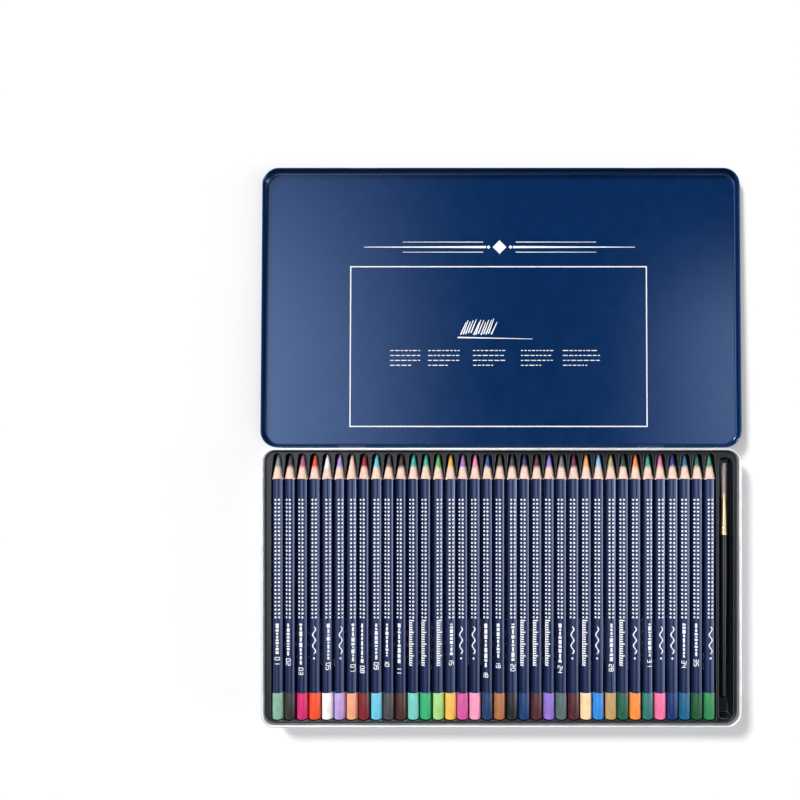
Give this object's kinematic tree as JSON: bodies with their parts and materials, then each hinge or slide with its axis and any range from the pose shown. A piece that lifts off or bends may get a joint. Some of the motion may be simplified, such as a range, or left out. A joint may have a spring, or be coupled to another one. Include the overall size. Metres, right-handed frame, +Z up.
{
  "type": "colored pencil tin",
  "caption": "Flat hinged metal tin, open, with a formed tray of coloured pencils and a small brush.",
  "frame": {"origin": "middle of the base tin's flat underside, on the table", "axes": "+X right along the row of pencils, +Y from the pencils' back ends towards the hinge and the open lid, +Z up"},
  "size_m": [0.3178, 0.37, 0.0148],
  "materials": {
    "tinplate": "bare bright tinplate, rolled and pressed",
    "lid_enamel": "printed navy enamel under a gloss varnish, inside and out",
    "tray_plastic": "black vacuum-formed polystyrene sheet",
    "pencil_lacquer": "cedar-like casing under dark navy gloss lacquer with a raised dot grid",
    "pencil_wood": "bare sharpened wood",
    "pencil_lead": "coloured wax lead, each pencil its own colour",
    "pencil_end": "dipped gloss paint on the back end, each pencil its own colour",
    "brush_lacquer": "black gloss lacquered wood",
    "brush_brass": "bright drawn brass",
    "brush_hair": "brown hair",
    "clear_plastic": "thin clear plastic tube"
  },
  "bodies": {
    "base": {"base_tin": "tinplate"},
    "lid": {"lid_tin": "lid_enamel"},
    "tray": {"tray": "tray_plastic"},
    "pencil_01": {"pencil_01": "pencil_lacquer"},
    "pencil_02": {"pencil_02": "pencil_lacquer"},
    "pencil_03": {"pencil_03": "pencil_lacquer"},
    "pencil_04": {"pencil_04": "pencil_lacquer"},
    "pencil_05": {"pencil_05": "pencil_lacquer"},
    "pencil_06": {"pencil_06": "pencil_lacquer"},
    "pencil_07": {"pencil_07": "pencil_lacquer"},
    "pencil_08": {"pencil_08": "pencil_lacquer"},
    "pencil_09": {"pencil_09": "pencil_lacquer"},
    "pencil_10": {"pencil_10": "pencil_lacquer"},
    "pencil_11": {"pencil_11": "pencil_lacquer"},
    "pencil_12": {"pencil_12": "pencil_lacquer"},
    "pencil_13": {"pencil_13": "pencil_lacquer"},
    "pencil_14": {"pencil_14": "pencil_lacquer"},
    "pencil_15": {"pencil_15": "pencil_lacquer"},
    "pencil_16": {"pencil_16": "pencil_lacquer"},
    "pencil_17": {"pencil_17": "pencil_lacquer"},
    "pencil_18": {"pencil_18": "pencil_lacquer"},
    "pencil_19": {"pencil_19": "pencil_lacquer"},
    "pencil_20": {"pencil_20": "pencil_lacquer"},
    "pencil_21": {"pencil_21": "pencil_lacquer"},
    "pencil_22": {"pencil_22": "pencil_lacquer"},
    "pencil_23": {"pencil_23": "pencil_lacquer"},
    "pencil_24": {"pencil_24": "pencil_lacquer"},
    "pencil_25": {"pencil_25": "pencil_lacquer"},
    "pencil_26": {"pencil_26": "pencil_lacquer"},
    "pencil_27": {"pencil_27": "pencil_lacquer"},
    "pencil_28": {"pencil_28": "pencil_lacquer"},
    "pencil_29": {"pencil_29": "pencil_lacquer"},
    "pencil_30": {"pencil_30": "pencil_lacquer"},
    "pencil_31": {"pencil_31": "pencil_lacquer"},
    "pencil_32": {"pencil_32": "pencil_lacquer"},
    "pencil_33": {"pencil_33": "pencil_lacquer"},
    "pencil_34": {"pencil_34": "pencil_lacquer"},
    "pencil_35": {"pencil_35": "pencil_lacquer"},
    "pencil_36": {"pencil_36": "pencil_lacquer"},
    "brush": {"brush_handle": "brush_lacquer", "brush_ferrule": "brush_brass", "brush_hair": "brush_hair", "brush_sleeve": "clear_plastic"}
  },
  "joints": [
    {"name": "lid_hinge", "type": "hinge", "parent": "base", "child": "lid", "pos_m": [0, 0.0925, 0.01], "axis": [-1, 0, 0], "range_deg": [-181.44, 0]},
    {"name": "tray_lift", "type": "slide", "parent": "base", "child": "tray", "axis": [0, 0, 1], "range_m": [0, 0.03]},
    {"name": "pencil_01_lift", "type": "slide", "parent": "tray", "child": "pencil_01", "axis": [0, 0, 1], "range_m": [0, 0.03]},
    {"name": "pencil_02_lift", "type": "slide", "parent": "tray", "child": "pencil_02", "axis": [0, 0, 1], "range_m": [0, 0.03]},
    {"name": "pencil_03_lift", "type": "slide", "parent": "tray", "child": "pencil_03", "axis": [0, 0, 1], "range_m": [0, 0.03]},
    {"name": "pencil_04_lift", "type": "slide", "parent": "tray", "child": "pencil_04", "axis": [0, 0, 1], "range_m": [0, 0.03]},
    {"name": "pencil_05_lift", "type": "slide", "parent": "tray", "child": "pencil_05", "axis": [0, 0, 1], "range_m": [0, 0.03]},
    {"name": "pencil_06_lift", "type": "slide", "parent": "tray", "child": "pencil_06", "axis": [0, 0, 1], "range_m": [0, 0.03]},
    {"name": "pencil_07_lift", "type": "slide", "parent": "tray", "child": "pencil_07", "axis": [0, 0, 1], "range_m": [0, 0.03]},
    {"name": "pencil_08_lift", "type": "slide", "parent": "tray", "child": "pencil_08", "axis": [0, 0, 1], "range_m": [0, 0.03]},
    {"name": "pencil_09_lift", "type": "slide", "parent": "tray", "child": "pencil_09", "axis": [0, 0, 1], "range_m": [0, 0.03]},
    {"name": "pencil_10_lift", "type": "slide", "parent": "tray", "child": "pencil_10", "axis": [0, 0, 1], "range_m": [0, 0.03]},
    {"name": "pencil_11_lift", "type": "slide", "parent": "tray", "child": "pencil_11", "axis": [0, 0, 1], "range_m": [0, 0.03]},
    {"name": "pencil_12_lift", "type": "slide", "parent": "tray", "child": "pencil_12", "axis": [0, 0, 1], "range_m": [0, 0.03]},
    {"name": "pencil_13_lift", "type": "slide", "parent": "tray", "child": "pencil_13", "axis": [0, 0, 1], "range_m": [0, 0.03]},
    {"name": "pencil_14_lift", "type": "slide", "parent": "tray", "child": "pencil_14", "axis": [0, 0, 1], "range_m": [0, 0.03]},
    {"name": "pencil_15_lift", "type": "slide", "parent": "tray", "child": "pencil_15", "axis": [0, 0, 1], "range_m": [0, 0.03]},
    {"name": "pencil_16_lift", "type": "slide", "parent": "tray", "child": "pencil_16", "axis": [0, 0, 1], "range_m": [0, 0.03]},
    {"name": "pencil_17_lift", "type": "slide", "parent": "tray", "child": "pencil_17", "axis": [0, 0, 1], "range_m": [0, 0.03]},
    {"name": "pencil_18_lift", "type": "slide", "parent": "tray", "child": "pencil_18", "axis": [0, 0, 1], "range_m": [0, 0.03]},
    {"name": "pencil_19_lift", "type": "slide", "parent": "tray", "child": "pencil_19", "axis": [0, 0, 1], "range_m": [0, 0.03]},
    {"name": "pencil_20_lift", "type": "slide", "parent": "tray", "child": "pencil_20", "axis": [0, 0, 1], "range_m": [0, 0.03]},
    {"name": "pencil_21_lift", "type": "slide", "parent": "tray", "child": "pencil_21", "axis": [0, 0, 1], "range_m": [0, 0.03]},
    {"name": "pencil_22_lift", "type": "slide", "parent": "tray", "child": "pencil_22", "axis": [0, 0, 1], "range_m": [0, 0.03]},
    {"name": "pencil_23_lift", "type": "slide", "parent": "tray", "child": "pencil_23", "axis": [0, 0, 1], "range_m": [0, 0.03]},
    {"name": "pencil_24_lift", "type": "slide", "parent": "tray", "child": "pencil_24", "axis": [0, 0, 1], "range_m": [0, 0.03]},
    {"name": "pencil_25_lift", "type": "slide", "parent": "tray", "child": "pencil_25", "axis": [0, 0, 1], "range_m": [0, 0.03]},
    {"name": "pencil_26_lift", "type": "slide", "parent": "tray", "child": "pencil_26", "axis": [0, 0, 1], "range_m": [0, 0.03]},
    {"name": "pencil_27_lift", "type": "slide", "parent": "tray", "child": "pencil_27", "axis": [0, 0, 1], "range_m": [0, 0.03]},
    {"name": "pencil_28_lift", "type": "slide", "parent": "tray", "child": "pencil_28", "axis": [0, 0, 1], "range_m": [0, 0.03]},
    {"name": "pencil_29_lift", "type": "slide", "parent": "tray", "child": "pencil_29", "axis": [0, 0, 1], "range_m": [0, 0.03]},
    {"name": "pencil_30_lift", "type": "slide", "parent": "tray", "child": "pencil_30", "axis": [0, 0, 1], "range_m": [0, 0.03]},
    {"name": "pencil_31_lift", "type": "slide", "parent": "tray", "child": "pencil_31", "axis": [0, 0, 1], "range_m": [0, 0.03]},
    {"name": "pencil_32_lift", "type": "slide", "parent": "tray", "child": "pencil_32", "axis": [0, 0, 1], "range_m": [0, 0.03]},
    {"name": "pencil_33_lift", "type": "slide", "parent": "tray", "child": "pencil_33", "axis": [0, 0, 1], "range_m": [0, 0.03]},
    {"name": "pencil_34_lift", "type": "slide", "parent": "tray", "child": "pencil_34", "axis": [0, 0, 1], "range_m": [0, 0.03]},
    {"name": "pencil_35_lift", "type": "slide", "parent": "tray", "child": "pencil_35", "axis": [0, 0, 1], "range_m": [0, 0.03]},
    {"name": "pencil_36_lift", "type": "slide", "parent": "tray", "child": "pencil_36", "axis": [0, 0, 1], "range_m": [0, 0.03]},
    {"name": "brush_lift", "type": "slide", "parent": "tray", "child": "brush", "axis": [0, 0, 1], "range_m": [0, 0.03]}
  ]
}
